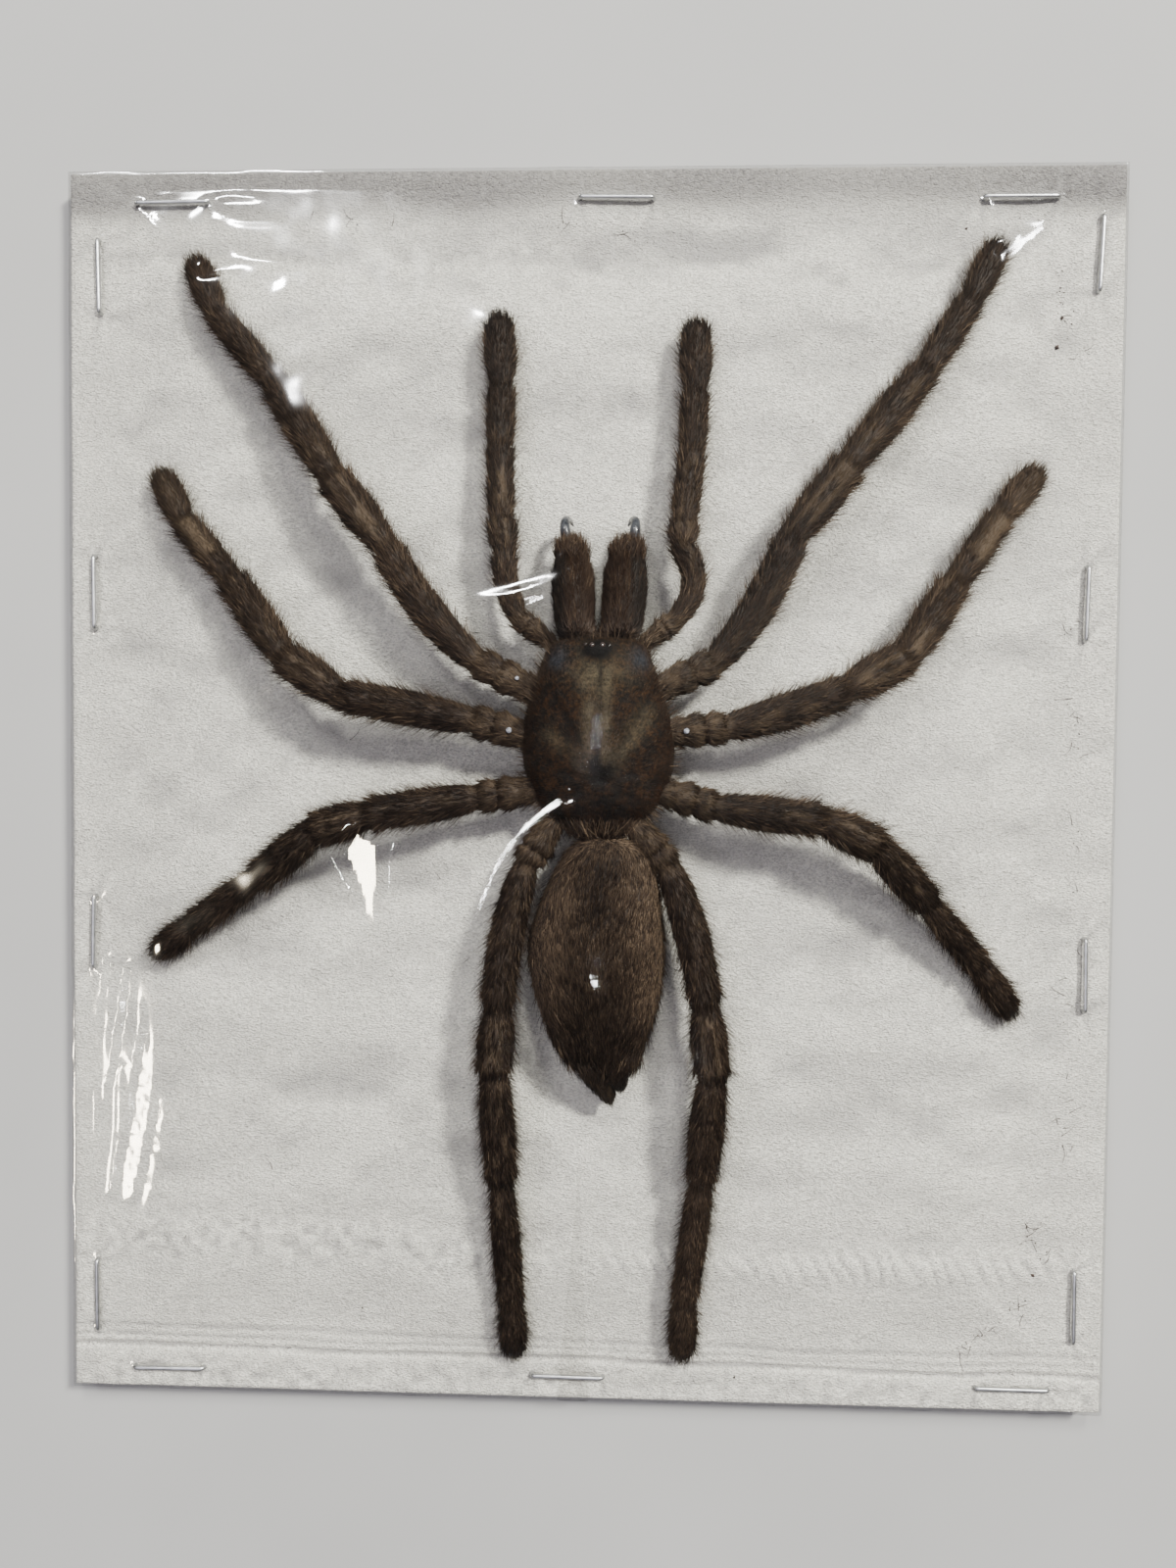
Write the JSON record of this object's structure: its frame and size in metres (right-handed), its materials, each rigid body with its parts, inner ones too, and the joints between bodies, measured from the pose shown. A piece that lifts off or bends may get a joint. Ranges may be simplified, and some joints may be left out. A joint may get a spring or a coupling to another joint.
{
  "type": "mounted tarantula specimen",
  "caption": "Dried tarantula spread on a tissue-wrapped card, under clear film that wire staples hold down round the edge.",
  "frame": {"origin": "middle of the back, on the surface the card lies on", "axes": "+Z out of the specimen's side, +Y the way the spider's head points, +X to the right of someone who looks at the specimen"},
  "size_m": [0.127, 0.15, 0.0176],
  "materials": {
    "card": "matte",
    "tissue": "matte",
    "film": "gloss",
    "carapace": "satin",
    "fur": "matte",
    "fang": "gloss",
    "staple_wire": "satin"
  },
  "bodies": {
    "root": {"backing_board": "card", "tissue_wrap": "tissue", "film_cover": "film", "cephalothorax": "carapace", "abdomen": "fur", "leg_1_left": "fur", "leg_1_right": "fur", "leg_2_left": "fur", "leg_2_right": "fur", "leg_3_left": "fur", "leg_3_right": "fur", "leg_4_left": "fur", "leg_4_right": "fur", "pedipalp_left": "fur", "pedipalp_right": "fur", "chelicera_left": "fur", "chelicera_right": "fur", "spinneret_left": "fur", "spinneret_right": "fur", "fang_left": "fang", "fang_right": "fang", "staple_top_left": "staple_wire", "staple_top_middle": "staple_wire", "staple_top_right": "staple_wire", "staple_right_1": "staple_wire", "staple_right_2": "staple_wire", "staple_right_3": "staple_wire", "staple_right_4": "staple_wire", "staple_bottom_right": "staple_wire", "staple_bottom_middle": "staple_wire", "staple_bottom_left": "staple_wire", "staple_left_1": "staple_wire", "staple_left_2": "staple_wire", "staple_left_3": "staple_wire", "staple_left_4": "staple_wire"}
  },
  "joints": []
}
